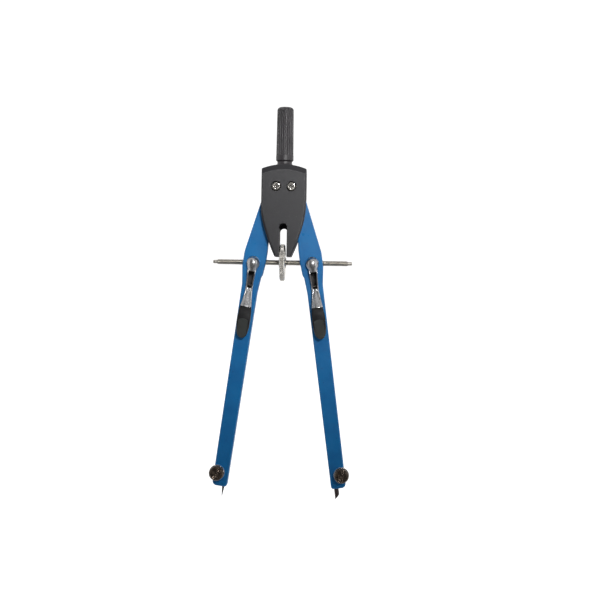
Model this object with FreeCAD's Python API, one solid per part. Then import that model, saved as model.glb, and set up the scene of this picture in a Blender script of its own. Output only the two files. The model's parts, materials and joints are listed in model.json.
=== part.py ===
import FreeCAD, Part
import os
from math import acos, cos, degrees, pi, radians, sin, tan

# Quick-setting masterbow drawing compass, standing upright on its two points, in millimetres.
# X runs from the needle leg to the lead leg, +Z runs up the handle, and the front faces -Y.
# The origin lies on the paper, midway between the two points.
#
# Both legs are drawn in one leg frame: its origin is the leg's pivot, +X points away from the
# other leg, and the leg runs down -Z. place_on_leg() leans that frame and stands it at its pivot.

OUT = "parts"
V = FreeCAD.Vector
X_AXIS = V(1, 0, 0)
Y_AXIS = V(0, 1, 0)
Z_AXIS = V(0, 0, 1)

# ---- Overall sizes ----
TOTAL_HEIGHT = 170.3
PIVOT_HEIGHT = 135.6
PIVOT_SPACING = 6.6
LEG_LEAN = 7.9
LEG_THICKNESS = 5.2
LEG_LENGTH = 132.4
CLOSE_ANGLE = 9.5
OPEN_ANGLE = 28.0

# ---- Fits ----
RUNNING = 0.04
GAP = 0.12

# ---- Modelling aids: how far cutters overshoot, a reach past every piece, and how near is touching ----
OVER = 1.0
FAR = 50.0
NEAR = 0.001

# ---- Leg outline, in the leg frame: (distance from the pivot line, distance below the pivot) ----
ROOT_RADIUS = 4.3
LEG_OUTER = [(9.4, 29.6), (9.45, 35.8), (8.35, 43.6), (7.85, 122.0)]
LEG_INNER = [
    (1.3, 122.0), (1.2, 46.8), (0.62, 39.9), (0.05, 38.6), (-0.42, 33.0), (-0.42, 27.5), (0.0, 22.0),
]
LEG_EDGE = 0.35
TOE_INNER_ROUND = 1.2
TOE_OUTER_ROUND = 2.0

# ---- Geared leg roots ----
GEAR_TEETH = 16
GEAR_PRESSURE_ANGLE = 25.0
GEAR_BACKLASH = 0.09
GEAR_ADDENDUM = 0.82
GEAR_DEDENDUM = 1.12
FLANK_STEPS = 4

# ---- Head ----
HEAD_HALF_WIDTH = 9.65
HEAD_CROWN = 9.6
HEAD_SHOULDER = 7.7
HEAD_SIDE = [(9.65, -7.0), (8.8, -15.3), (7.1, -21.1), (5.35, -26.0), (3.5, -30.3)]
HEAD_DEPTH = 12.4
CAVITY_DEPTH = 6.0
BAND_HEIGHT = 2.4
BAND_DEPTH = 1.5
COVER_EDGE = 0.55
SLOT_WIDTH = 3.3
SLOT_TOP = 15.7
BACK_SLOT_TOP = 17.8
BACK_SLOT_LIP = 0.8
CORE_LOWER_EDGE = 4.4
CORE_CHEEK_WIDTH = 1.6
CORE_CHEEK_BOTTOM = 2.2

# ---- Pivot screws, bushes, washers and inserts ----
SCREW_HEAD_RADIUS = 1.85
SCREW_HEAD_HEIGHT = 1.3
SCREW_SHANK_RADIUS = 1.1
SCREW_RECESS_RADIUS = 2.2
SCREW_RECESS_DEPTH = 1.5
SCREW_HEAD_ROUND = 0.43
SCREW_CROSS_LENGTH = 2.3
SCREW_CROSS_WIDTH = 0.5
SCREW_CROSS_DEPTH = 0.7
BUSH_RADIUS = 1.8
WASHER_RADIUS = 3.0
WASHER_THICKNESS = 0.3
INSERT_RADIUS = 2.0
INSERT_LENGTH = 2.6
DOWEL_RADIUS = 0.8
DOWEL_LENGTH = 9.0
DOWEL_X = 7.4
DOWEL_Z = 6.1

# ---- Handle ----
COLLAR_RADIUS = 3.2
COLLAR_FOOT_RADIUS = 3.9
COLLAR_FOOT_HEIGHT = 0.5
GRIP_BOTTOM = 11.1
GRIP_BAND_RADIUS = 3.8
GRIP_BAND_LENGTH = 2.1
GRIP_BAND_STEP = 0.06
GRIP_TOP_RADIUS = 3.55
GRIP_CHAMFER = 0.55
GRIP_CROWN = 1.4
GRIP_FLUTES = 24
GRIP_FLUTE_RADIUS = 0.38
STUD_RADIUS = 1.5
STUD_LENGTH = 16.0
STUD_BELOW = 4.6

# ---- Spindle and wheel ----
SPINDLE_DROP = 32.8
SPINDLE_RADIUS = 1.25
SPINDLE_LENGTH = 60.6
TIP_RADIUS = 0.8
TIP_LENGTH = 1.8
WHEEL_RADIUS = 8.0
WHEEL_WIDTH = 2.2
WHEEL_OFFSET = -0.2
WHEEL_KNURLS = 56
WHEEL_KNURL_RADIUS = 0.26
WHEEL_EDGE = 0.3
GUIDE_RADIUS = 2.2
GUIDE_THICKNESS = 0.35

# ---- Swivel nuts and their jaws, round an axis along Y through the spindle ----
NUT_SIDE = 4.85
NUT_RADIUS = 2.6
NUT_FRONT = -2.5
NUT_BACK = 1.9
SPINDLE_ROOM = 0.2
WINDOW_REACH = 9.0
WINDOW_SPARE = 1.0
JAW_RADIUS = 1.85
JAW_FACE = -0.75
JAW_SHOULDER = -2.55
JAW_POCKET_BACK = -0.15
JAW_STEM_RADIUS = 0.8
JAW_BUTTON_RADIUS = 1.55
JAW_BUTTON_NEAR = -3.5
JAW_BUTTON_FAR = -4.0
CLIP_NEAR = -2.66
CLIP_FAR = -3.08
CLIP_INNER_RADIUS = 1.25
CLIP_RADIUS = 2.1

# ---- Release levers, in the leg frame ----
DOME_DROP = 34.2
DOME_RADIUS = 2.9
DOME_FRONT = -6.5
DOME_ROUND = 1.5
DOME_MOUTH_RADIUS = 2.35
DOME_ROOF = -5.2
LEVER_BACK = -2.72
LEVER_WEB_FRONT = -3.02
LEVER_PIN_DROP = 44.0
LEVER_PIN_Y = -1.4
LEVER_PIN_RADIUS = 0.55
LEVER_PIN_LENGTH = 5.4
LEVER_EYE_RADIUS = 1.05
RAIL_GAP = [(0.0, 37.6), (0.95, 38.1), (0.72, 44.6), (0.0, 45.3)]
LEVER_FRONT_OUTLINE = [(2.75, 34.9), (1.75, 37.9), (1.32, 44.6), (1.75, 55.4)]
LEVER_PROFILE = [
    (36.0, DOME_FRONT + 0.4), (38.2, -5.3), (42.6, -3.9), (45.2, -3.5), (53.2, -7.5), (55.4, -7.5),
    (55.4, -6.5), (53.4, -6.3), (46.6, LEVER_BACK - 0.2), (45.0, LEVER_BACK), (35.0, LEVER_BACK),
]
CHANNEL_HALF_WIDTH = 1.45
CHANNEL_TOP = 37.6
CHANNEL_BOTTOM = 48.4
CHANNEL_FLOOR = 0.3

# ---- Lever pads ----
PAD_HALF_WIDTH = 2.85
PAD_TOP_HALF_WIDTH = 2.45
PAD_FOOT_HALF_WIDTH = 2.35
PAD_FOOT_ROUND = 3.0
PAD_TOP = 51.6
PAD_RIDGE = 58.8
PAD_BOTTOM = 66.8
PAD_FRONT = -8.6
PAD_TOP_FRONT = -6.9
PAD_FOOT_FRONT = -6.55
PAD_BACK = -5.35
PAD_HOLLOW = 0.55

# ---- Lever springs ----
SPRING_DROP = 50.6
SPRING_COIL_RADIUS = 0.95
SPRING_WIRE_RADIUS = 0.16
SPRING_SEAT = 0.6
SPRING_TOP = -4.62
SPRING_TURNS = 7
SPRING_HOLE_RADIUS = 1.3

# ---- Points and their clamp screws, in the leg frame ----
NEEDLE_SIDE = 2.95
LEAD_SIDE = 3.5
POINT_RADIUS = 1.0
POINT_BORE_TOP = 110.0
NEEDLE_TOP = 117.0
NEEDLE_SHOULDER = 131.9
NEEDLE_CONE_RADIUS = 0.65
NEEDLE_TIP_RADIUS = 0.04
LEAD_TOP = 114.0
CLAMP_SIDE = 6.45
CLAMP_DROP = 126.6
CLAMP_SHANK_RADIUS = 1.0
CLAMP_SHANK_SHORT = 0.3
CLAMP_HEAD_RADIUS = 3.25
CLAMP_HEAD_THICKNESS = 3.0
CLAMP_KNURLS = 36
CLAMP_KNURL_RADIUS = 0.2
CLAMP_EDGE = 0.3
CLAMP_DIMPLE_RADIUS = 0.45
CLAMP_DIMPLE_DEPTH = 0.4
BOSS_RADIUS = 3.4
BOSS_HEIGHT = 0.5
CLAMP_WASHER_RADIUS = 3.35
CLAMP_WASHER_THICKNESS = 0.7
SPLIT_WIDTH = 0.6
SPLIT_TOP = 114.0

# ---- Sizes that follow ----
LEFT = -1
RIGHT = 1
SIDES = {"left": LEFT, "right": RIGHT}
HALF_LEG = LEG_THICKNESS / 2
HALF_CAVITY = CAVITY_DEPTH / 2
HALF_HEAD = HEAD_DEPTH / 2
PIVOT_X = PIVOT_SPACING / 2
SPINDLE_Z = PIVOT_HEIGHT - SPINDLE_DROP
NUT_DROP = (SPINDLE_DROP + NUT_SIDE * sin(radians(LEG_LEAN))) / cos(radians(LEG_LEAN))
NUT_X = PIVOT_X + NUT_SIDE * cos(radians(LEG_LEAN)) + NUT_DROP * sin(radians(LEG_LEAN))


def save(name, shape):
    """Check one sub-part and write it to its own STEP file."""
    solids = shape.Solids
    if not solids or not shape.isValid():
        raise ValueError(f"{name}: no valid solid")
    shape = solids[0] if len(solids) == 1 else Part.makeCompound(solids)
    shape.exportStep(os.path.join(OUT, f"{name}.step"))
    print(f"{name:24s} {len(solids)} solid(s) {shape.Volume:10.2f} mm3")


def fused(shapes):
    """Join touching or overlapping solids into one, without leftover seams."""
    first, *rest = shapes
    return (first.multiFuse(rest) if rest else first).removeSplitter()


def rod(radius, y_from, y_to, x=0.0, z=0.0):
    """A round bar along Y."""
    return Part.makeCylinder(radius, abs(y_to - y_from), V(x, min(y_from, y_to), z), Y_AXIS)


def bar(radius, x_from, x_to, y=0.0, z=0.0):
    """A round bar along X."""
    return Part.makeCylinder(radius, x_to - x_from, V(x_from, y, z), X_AXIS)


def post(radius, z_from, z_to, x=0.0, y=0.0):
    """A round bar along Z."""
    return Part.makeCylinder(radius, z_to - z_from, V(x, y, z_from), Z_AXIS)


def block(x_from, x_to, y_from, y_to, z_from, z_to):
    """A rectangular block between two corners."""
    return Part.makeBox(x_to - x_from, y_to - y_from, z_to - z_from, V(x_from, y_from, z_from))


def plate(points, y_from, y_to):
    """A flat plate with a straight-sided outline of (x, z) points, between two depths."""
    corners = [V(x, y_from, z) for x, z in points]
    face = Part.Face(Part.makePolygon(corners + corners[:1]))
    return face.extrude(V(0, y_to - y_from, 0))


def turned(profile, centre, axis):
    """A turned solid from (radius, distance along the axis) points."""
    corners = [V(r, 0, h) for r, h in profile]
    return spun(Part.makePolygon(corners + corners[:1]), centre, axis)


def spun(outline, centre, axis):
    """A turned solid from a closed outline that is drawn in the XZ plane beside the Z axis."""
    solid = Part.Face(outline).revolve(V(0, 0, 0), Z_AXIS, 360)
    solid.rotate(V(0, 0, 0), Z_AXIS.cross(axis) if axis != Z_AXIS else Z_AXIS, degrees(acos(axis.z)))
    solid.translate(centre)
    return solid


def round_circle(count, radius):
    """Evenly spaced points round a circle, as two distances from its centre."""
    angles = [2 * pi * i / count for i in range(count)]
    return [(radius * cos(a), radius * sin(a)) for a in angles]


def lies_on(edge, y):
    """Whether an edge lies in the plane at one depth."""
    return abs(edge.BoundBox.YMin - y) < NEAR and abs(edge.BoundBox.YMax - y) < NEAR


def place_on_leg(shape, side):
    """Move a shape from the leg frame to its place on the leg on one side."""
    placed = shape.copy()
    placed.rotate(V(0, 0, 0), Y_AXIS, -LEG_LEAN)
    placed.translate(V(PIVOT_X, 0, PIVOT_HEIGHT))
    return placed.mirror(V(0, 0, 0), X_AXIS) if side == LEFT else placed


# ---- Head ----
def cover_face(y):
    """The shield outline that both covers share, as a face at one depth."""
    top = PIVOT_HEIGHT + HEAD_SHOULDER
    crown = V(0, y, PIVOT_HEIGHT + HEAD_CROWN)
    sides = {s: [V(s * x, y, PIVOT_HEIGHT + z) for x, z in HEAD_SIDE] for s in SIDES.values()}
    shoulders = {s: V(s * HEAD_HALF_WIDTH, y, top) for s in SIDES.values()}
    curves = {}
    for s in SIDES.values():
        spline = Part.BSplineCurve()
        spline.interpolate(sides[s])
        curves[s] = spline.toShape()
    edges = [
        Part.Arc(shoulders[LEFT], crown, shoulders[RIGHT]).toShape(),
        Part.makeLine(shoulders[RIGHT], sides[RIGHT][0]),
        curves[RIGHT],
        Part.makeLine(sides[RIGHT][-1], sides[LEFT][-1]),
        curves[LEFT],
        Part.makeLine(sides[LEFT][0], shoulders[LEFT]),
    ]
    return Part.Face(Part.Wire(Part.__sortEdges__(edges)))


def wheel_slot(top, y_from, y_to):
    """The cutter for an open slot that lets the wheel through: a round top, open below."""
    radius = SLOT_WIDTH / 2
    arch = PIVOT_HEIGHT - top - radius
    below = PIVOT_HEIGHT + HEAD_SIDE[-1][1] - OVER
    straight = block(-radius, radius, y_from, y_to, below, arch)
    return straight.fuse(rod(radius, y_from, y_to, z=arch))


def bevelled(blank, outer_y):
    """Chamfer a cover's sides and foot, and slope a broad band along its crown."""
    shoulder = PIVOT_HEIGHT + HEAD_SHOULDER
    rim = [e for e in blank.Edges if lies_on(e, outer_y) and e.BoundBox.ZMin < shoulder - NEAR]
    return blank.makeChamfer(COVER_EDGE, rim).cut(crown_band(outer_y))


def crown_band(outer_y):
    """The conical ring that is cut off along the crown, which leaves the sloping band."""
    rise = HEAD_CROWN - HEAD_SHOULDER
    radius = (HEAD_HALF_WIDTH ** 2 + rise ** 2) / (2 * rise)
    centre = V(0, outer_y, PIVOT_HEIGHT + HEAD_CROWN - radius)
    low = radius - BAND_HEIGHT
    reach = 2 * BAND_DEPTH
    high = low + 2 * BAND_HEIGHT
    profile = [(low, 0), (high, reach), (high, -OVER), (low, -OVER)]
    return turned(profile, centre, V(0, -1, 0) if outer_y > 0 else V(0, 1, 0))


def cover(outer_y, inner_y):
    """One cover of the head, before its slot and screw holes."""
    blank = cover_face(min(outer_y, inner_y)).extrude(V(0, abs(outer_y - inner_y), 0))
    return bevelled(blank, outer_y)


def dowels(radius):
    """The two pins that locate both covers on the core."""
    half = DOWEL_LENGTH / 2
    z = PIVOT_HEIGHT + DOWEL_Z
    return [rod(radius, -half, half, s * DOWEL_X, z) for s in SIDES.values()]


def head_parts():
    """Both covers, the core between them and the dowels."""
    front = cover(-HALF_HEAD, -HALF_CAVITY).cut(wheel_slot(SLOT_TOP, -FAR, 0))
    # The back slot is as tall as the front one inside, and shorter where it breaks through.
    back = cover(HALF_HEAD, HALF_CAVITY).cut(wheel_slot(SLOT_TOP, 0, HALF_HEAD - BACK_SLOT_LIP))
    back = back.cut(wheel_slot(BACK_SLOT_TOP, 0, FAR))
    z = PIVOT_HEIGHT
    shank_hole = SCREW_SHANK_RADIUS + RUNNING
    recess_floor = -HALF_HEAD + SCREW_RECESS_DEPTH
    for s in SIDES.values():
        x = s * PIVOT_X
        front = front.cut(rod(SCREW_RECESS_RADIUS, -HALF_HEAD - OVER, recess_floor, x, z))
        front = front.cut(rod(shank_hole, -HALF_HEAD, 0, x, z))
        back = back.cut(rod(shank_hole, 0, HALF_HEAD + OVER, x, z))
        back = back.cut(rod(INSERT_RADIUS, HALF_HEAD - INSERT_LENGTH, HALF_HEAD + OVER, x, z))
    for pin in dowels(DOWEL_RADIUS):
        front = front.cut(pin)
        back = back.cut(pin)
    save("head_front_cover", front)
    save("head_back_cover", back)
    save("head_core", head_core())
    save("head_dowels", Part.makeCompound(dowels(DOWEL_RADIUS)))


def head_core():
    """The block between the covers that carries the handle stud, open round the leg roots."""
    low = PIVOT_HEIGHT + CORE_LOWER_EDGE
    cheek_low = PIVOT_HEIGHT + CORE_CHEEK_BOTTOM
    inner = HEAD_HALF_WIDTH - CORE_CHEEK_WIDTH
    depth = HALF_CAVITY + OVER
    room = block(-FAR, FAR, -depth, depth, cheek_low - FAR, cheek_low)
    bay = block(-inner, inner, -depth, depth, cheek_low - OVER, low)
    core = cover_face(-HALF_CAVITY).extrude(V(0, CAVITY_DEPTH, 0)).cut(room).cut(bay)
    core = core.cut(post(STUD_RADIUS, PIVOT_HEIGHT + STUD_BELOW, TOTAL_HEIGHT))
    return core.cut(Part.makeCompound(dowels(DOWEL_RADIUS)))


def pivot_screw(side):
    """A cross-headed machine screw that holds the covers together and carries one leg."""
    x = side * PIVOT_X
    seat = -HALF_HEAD + SCREW_RECESS_DEPTH
    face = seat - SCREW_HEAD_HEIGHT
    head = rod(SCREW_HEAD_RADIUS, face, seat, x, PIVOT_HEIGHT)
    head = head.makeFillet(SCREW_HEAD_ROUND, [e for e in head.Edges if lies_on(e, face)])
    sizes = (SCREW_CROSS_LENGTH, SCREW_CROSS_WIDTH)
    for width, height in (sizes, sizes[::-1]):
        head = head.cut(block(x - width / 2, x + width / 2, face - OVER, face + SCREW_CROSS_DEPTH,
                              PIVOT_HEIGHT - height / 2, PIVOT_HEIGHT + height / 2))
    shank = rod(SCREW_SHANK_RADIUS, seat - GAP, HALF_HEAD - GAP, x, PIVOT_HEIGHT)
    return fused([head, shank])


def ring(outer, inner, y_from, y_to, x, z):
    """A flat ring or tube round an axis along Y."""
    low = min(y_from, y_to) - OVER
    high = max(y_from, y_to) + OVER
    return rod(outer, y_from, y_to, x, z).cut(rod(inner, low, high, x, z))


def pivot_parts():
    """The screws, bushes, friction washers and threaded inserts at both leg pivots."""
    z = PIVOT_HEIGHT
    hole = SCREW_SHANK_RADIUS
    screws = []
    bushes = []
    washers = []
    inserts = []
    for s in SIDES.values():
        x = s * PIVOT_X
        screws.append(pivot_screw(s))
        bushes.append(ring(BUSH_RADIUS, hole, -HALF_CAVITY, HALF_CAVITY, x, z))
        inserts.append(ring(INSERT_RADIUS, hole, HALF_HEAD - INSERT_LENGTH, HALF_HEAD - GAP, x, z))
        for wall in (-HALF_CAVITY, HALF_CAVITY - WASHER_THICKNESS):
            washers.append(ring(WASHER_RADIUS, BUSH_RADIUS, wall, wall + WASHER_THICKNESS, x, z))
    save("pivot_screws", Part.makeCompound(screws))
    save("pivot_bushes", Part.makeCompound(bushes))
    save("friction_washers", Part.makeCompound(washers))
    save("pivot_inserts", Part.makeCompound(inserts))


# ---- Handle ----
def handle_parts():
    """The fluted grip, its collar and the stud that screws them to the head."""
    crown = PIVOT_HEIGHT + HEAD_CROWN
    bottom = PIVOT_HEIGHT + GRIP_BOTTOM
    band_top = bottom + GRIP_CHAMFER + GRIP_BAND_LENGTH
    collar = turned([(0, crown), (COLLAR_FOOT_RADIUS, crown), (COLLAR_RADIUS, crown + COLLAR_FOOT_HEIGHT),
                     (COLLAR_RADIUS, bottom), (0, bottom)], V(0, 0, 0), Z_AXIS)
    collar = collar.cut(post(STUD_RADIUS, crown - OVER, bottom + OVER))
    grip = turned([
        (0, bottom), (GRIP_BAND_RADIUS - GRIP_CHAMFER, bottom), (GRIP_BAND_RADIUS, bottom + GRIP_CHAMFER),
        (GRIP_BAND_RADIUS, band_top), (GRIP_BAND_RADIUS - GRIP_BAND_STEP, band_top),
        (GRIP_TOP_RADIUS, TOTAL_HEIGHT), (0, TOTAL_HEIGHT)], V(0, 0, 0), Z_AXIS)
    rim = [e for e in grip.Edges if e.BoundBox.ZMin > TOTAL_HEIGHT - NEAR]
    grip = grip.makeFillet(GRIP_CROWN, rim).cut(grip_flutes(band_top))
    stud = post(STUD_RADIUS, PIVOT_HEIGHT + STUD_BELOW, bottom + STUD_LENGTH - STUD_BELOW)
    save("handle_grip", grip.cut(stud))
    save("handle_collar", collar)
    save("handle_stud", stud)


def grip_flutes(band_top):
    """The round cutters for the flutes, which follow the grip's slight taper."""
    flute = post(GRIP_FLUTE_RADIUS, band_top, TOTAL_HEIGHT + OVER, x=GRIP_BAND_RADIUS)
    taper = degrees((GRIP_BAND_RADIUS - GRIP_TOP_RADIUS) / (TOTAL_HEIGHT - band_top))
    flute.rotate(V(GRIP_BAND_RADIUS, 0, band_top), Y_AXIS, -taper)
    flutes = []
    for i in range(GRIP_FLUTES):
        copy = flute.copy()
        copy.rotate(V(0, 0, 0), Z_AXIS, 360 / GRIP_FLUTES * i)
        flutes.append(copy)
    return Part.makeCompound(flutes)


# ---- Legs ----
def gear_points(phase):
    """The outline of a geared root: involute flanks between its tip and root circles."""
    module = PIVOT_SPACING / GEAR_TEETH
    pitch_r = PIVOT_SPACING / 2
    base_r = pitch_r * cos(radians(GEAR_PRESSURE_ANGLE))
    tip_r = pitch_r + GEAR_ADDENDUM * module
    root_r = pitch_r - GEAR_DEDENDUM * module

    def involute(radius):
        pressure = acos(min(1.0, base_r / radius))
        return tan(pressure) - pressure

    half_pitch_angle = pi / (2 * GEAR_TEETH) - GEAR_BACKLASH / (2 * pitch_r)
    radii = [base_r + (tip_r - base_r) * i / FLANK_STEPS for i in range(FLANK_STEPS + 1)]
    flank = [(root_r, half_pitch_angle + involute(pitch_r))]
    flank += [(r, half_pitch_angle + involute(pitch_r) - involute(r)) for r in radii]
    points = []
    for tooth in range(GEAR_TEETH):
        centre = radians(phase) + 2 * pi * tooth / GEAR_TEETH
        points += [(r, centre - a) for r, a in flank]
        points += [(r, centre + a) for r, a in reversed(flank)]
    return [(r * cos(a), r * sin(a)) for r, a in points]


def leg_gear(side):
    """The geared root in its meshed place: a tooth on one side faces a gap on the other."""
    facing = 180 if side == RIGHT else 180 / GEAR_TEETH
    teeth = plate(gear_points(facing), -HALF_LEG, HALF_LEG)
    teeth.translate(V(side * PIVOT_X, 0, PIVOT_HEIGHT))
    return teeth


def leg_blank():
    """The leg's plain outline in the leg frame, with its two toes rounded."""
    low = LEG_LENGTH
    points = [(0.0, 0.0), (ROOT_RADIUS, 0.0)]
    points += [(s, -t) for s, t in LEG_OUTER]
    points += [(LEG_OUTER[-1][0], -low), (LEG_INNER[0][0], -low)]
    points += [(s, -t) for s, t in LEG_INNER]
    blank = plate(points, -HALF_LEG, HALF_LEG)
    blank = blank.fuse(root_disc()).removeSplitter()
    toes = {LEG_OUTER[-1][0]: TOE_OUTER_ROUND, LEG_INNER[0][0]: TOE_INNER_ROUND}
    for x, radius in toes.items():
        upright = [e for e in blank.Edges if e.BoundBox.YLength > HALF_LEG
                   and abs(e.BoundBox.XMin - x) < NEAR and abs(e.BoundBox.ZMin + low) < NEAR]
        blank = blank.makeFillet(radius, upright)
    return blank


def root_disc():
    """The plain outer half of the round root."""
    disc = rod(ROOT_RADIUS, -HALF_LEG, HALF_LEG)
    return disc.cut(block(-FAR, 0, -FAR, FAR, -FAR, FAR))


def eased_long_edges(blank):
    """Chamfer the leg's long edges below the head."""
    top = -LEG_INNER[-1][1] + NEAR
    edges = [e for e in blank.Edges
             if e.BoundBox.ZMax < top and (lies_on(e, -HALF_LEG) or lies_on(e, HALF_LEG))]
    return blank.makeChamfer(LEG_EDGE, edges)


def spindle_window():
    """The fan-shaped cutter that lets the spindle turn inside the leg, in the leg frame."""
    half = SPINDLE_RADIUS + SPINDLE_ROOM
    # The spindle lies across a leg that leans, so its angles are counted back from the lean.
    steep = radians(-LEG_LEAN + CLOSE_ANGLE + WINDOW_SPARE)
    shallow = radians(-LEG_LEAN - OPEN_ANGLE - WINDOW_SPARE)
    waist = half / cos((steep - shallow) / 2)

    def corner(angle, along, across):
        return (along * cos(angle) - across * sin(angle), along * sin(angle) + across * cos(angle))

    middle = (steep + shallow) / 2
    far_side = [corner(steep, WINDOW_REACH, half), corner(shallow, WINDOW_REACH, -half)]
    near_side = [corner(steep, -WINDOW_REACH, -half), corner(shallow, -WINDOW_REACH, half)]
    points = far_side + [corner(middle, 0, -waist)] + near_side + [corner(middle, 0, waist)]
    window = plate(points, -half, half)
    window.translate(V(NUT_SIDE, 0, -NUT_DROP))
    return window


def lever_room():
    """The cutter for the channel under the lever, its pin hole and the spring's seat."""
    channel = block(NUT_SIDE - CHANNEL_HALF_WIDTH, NUT_SIDE + CHANNEL_HALF_WIDTH,
                    -HALF_LEG - OVER, CHANNEL_FLOOR, -CHANNEL_BOTTOM, -CHANNEL_TOP)
    pin = lever_pin(LEVER_PIN_RADIUS)
    seat = rod(SPRING_HOLE_RADIUS, -HALF_LEG - OVER, SPRING_SEAT, NUT_SIDE, -SPRING_DROP)
    return [channel, pin, seat]


def lever_pin(radius):
    """The cross pin that the lever rocks on."""
    half = LEVER_PIN_LENGTH / 2
    return bar(radius, NUT_SIDE - half, NUT_SIDE + half, LEVER_PIN_Y, -LEVER_PIN_DROP)


def leg(side):
    """One die-cast leg with its geared root, nut bore, spindle window and split clamp."""
    point_side = NEEDLE_SIDE if side == LEFT else LEAD_SIDE
    body = eased_long_edges(leg_blank())
    boss = rod(BOSS_RADIUS, -HALF_LEG - BOSS_HEIGHT, 0, CLAMP_SIDE, -CLAMP_DROP)
    body = body.fuse(boss.common(boss_bounds()))
    body = body.cut(rod(NUT_RADIUS + RUNNING, -HALF_LEG - OVER, NUT_BACK + RUNNING, NUT_SIDE, -NUT_DROP))
    for cutter in [spindle_window()] + lever_room():
        body = body.cut(cutter)
    body = body.cut(post(POINT_RADIUS + RUNNING, -LEG_LENGTH - OVER, -POINT_BORE_TOP, x=point_side))
    split = block(point_side, FAR, -SPLIT_WIDTH / 2, SPLIT_WIDTH / 2, -LEG_LENGTH - OVER, -SPLIT_TOP)
    body = body.cut(split)
    body = body.cut(rod(CLAMP_SHANK_RADIUS + RUNNING, -FAR, FAR, CLAMP_SIDE, -CLAMP_DROP))
    body = place_on_leg(body, side).fuse(leg_gear(side)).removeSplitter()
    return body.cut(rod(BUSH_RADIUS + RUNNING, -FAR, FAR, side * PIVOT_X, PIVOT_HEIGHT))


def boss_bounds():
    """The part of the clamp boss that stays within the leg's width."""
    return block(LEG_INNER[0][0], LEG_OUTER[-1][0], -FAR, FAR, -LEG_LENGTH, 0)


# ---- Swivel nuts, jaws and clips ----
def at_nut(shape, side):
    """Move a shape drawn round the nut's centre to its place on one side."""
    placed = shape.copy()
    placed.translate(V(side * NUT_X, 0, SPINDLE_Z))
    return placed


def swivel_nut():
    """The round nut body, bored for the spindle and open at the front for its jaw."""
    body = rod(NUT_RADIUS, NUT_FRONT, NUT_BACK)
    body = body.cut(bar(SPINDLE_RADIUS + RUNNING, -FAR, FAR))
    return body.cut(rod(JAW_RADIUS + RUNNING, NUT_FRONT - OVER, JAW_POCKET_BACK))


def thread_jaw():
    """The half nut that the lever holds against the front of the spindle."""
    body = rod(JAW_RADIUS, JAW_SHOULDER, JAW_FACE)
    stem = rod(JAW_STEM_RADIUS, JAW_BUTTON_NEAR, JAW_SHOULDER)
    button = rod(JAW_BUTTON_RADIUS, JAW_BUTTON_FAR, JAW_BUTTON_NEAR)
    return fused([body, stem, button]).cut(bar(SPINDLE_RADIUS + RUNNING, -FAR, FAR))


# ---- Release levers ----
def dome():
    """The round head of the lever, over the nut, as a cap."""
    height = LEVER_BACK - DOME_FRONT
    bend = DOME_ROUND * (1 - cos(pi / 4))
    axis_foot = V(0, 0, 0)
    foot = V(DOME_RADIUS, 0, 0)
    shoulder = V(DOME_RADIUS, 0, height - DOME_ROUND)
    rounded = V(DOME_RADIUS - bend, 0, height - bend)
    crown = V(DOME_RADIUS - DOME_ROUND, 0, height)
    axis_top = V(0, 0, height)
    outline = Part.Wire([
        Part.makeLine(axis_foot, foot), Part.makeLine(foot, shoulder),
        Part.Arc(shoulder, rounded, crown).toShape(), Part.makeLine(crown, axis_top),
        Part.makeLine(axis_top, axis_foot),
    ])
    return spun(outline, V(NUT_SIDE, LEVER_BACK, -DOME_DROP), V(0, -1, 0))


def release_lever():
    """The lever: a dome, two rails with a slot between them, and a tongue that rises to the pad."""
    half = [(NUT_SIDE + s, -t) for s, t in LEVER_FRONT_OUTLINE]
    other = [(NUT_SIDE - s, -t) for s, t in reversed(LEVER_FRONT_OUTLINE)]
    outline = plate(half + other, -FAR, FAR)
    side_points = [V(-FAR, y, -t) for t, y in LEVER_PROFILE]
    profile = Part.Face(Part.makePolygon(side_points + side_points[:1])).extrude(V(2 * FAR, 0, 0))
    eye = bar(LEVER_EYE_RADIUS, -FAR, FAR, LEVER_PIN_Y, -LEVER_PIN_DROP)
    web = block(-FAR, FAR, LEVER_WEB_FRONT, LEVER_PIN_Y,
                -LEVER_PIN_DROP - LEVER_EYE_RADIUS, -LEVER_PIN_DROP + LEVER_EYE_RADIUS)
    arm = fused([profile, eye, web]).common(outline)
    gap = [(NUT_SIDE + s, -t) for s, t in RAIL_GAP]
    gap += [(NUT_SIDE - s, -t) for s, t in reversed(RAIL_GAP[1:-1])]
    lever = fused([arm, dome()]).cut(plate(gap, -FAR, FAR))
    lever = lever.cut(rod(DOME_MOUTH_RADIUS, 0, CLIP_NEAR, NUT_SIDE, -NUT_DROP))
    lever = lever.cut(rod(CLIP_RADIUS, 0, DOME_ROOF, NUT_SIDE, -NUT_DROP))
    return lever.cut(lever_pin(LEVER_PIN_RADIUS + RUNNING))


def jaw_clip():
    """The clip pressed into the dome, behind the jaw's button."""
    return ring(CLIP_RADIUS, CLIP_INNER_RADIUS, CLIP_FAR, CLIP_NEAR, NUT_SIDE, -NUT_DROP)


def lever_pad():
    """The finger pad: a hollowed upper face, a ridge, and a shield-shaped lower facet."""
    def across(half_width, drop):
        return V(NUT_SIDE - half_width, 0, -drop), V(NUT_SIDE + half_width, 0, -drop)

    top_left, top_right = across(PAD_TOP_HALF_WIDTH, PAD_TOP)
    wide_left, wide_right = across(PAD_HALF_WIDTH, (PAD_TOP + PAD_BOTTOM) / 2)
    foot_left, foot_right = across(PAD_FOOT_HALF_WIDTH, PAD_BOTTOM - PAD_FOOT_ROUND)
    outline = Part.Wire([
        Part.makeLine(top_left, top_right), Part.makeLine(top_right, wide_right),
        Part.makeLine(wide_right, foot_right),
        Part.Arc(foot_right, V(NUT_SIDE, 0, -PAD_BOTTOM), foot_left).toShape(),
        Part.makeLine(foot_left, wide_left), Part.makeLine(wide_left, top_left),
    ])
    blank = Part.Face(outline).extrude(V(0, -FAR, 0))
    return blank.common(pad_profile()).cut(release_lever())


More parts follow.
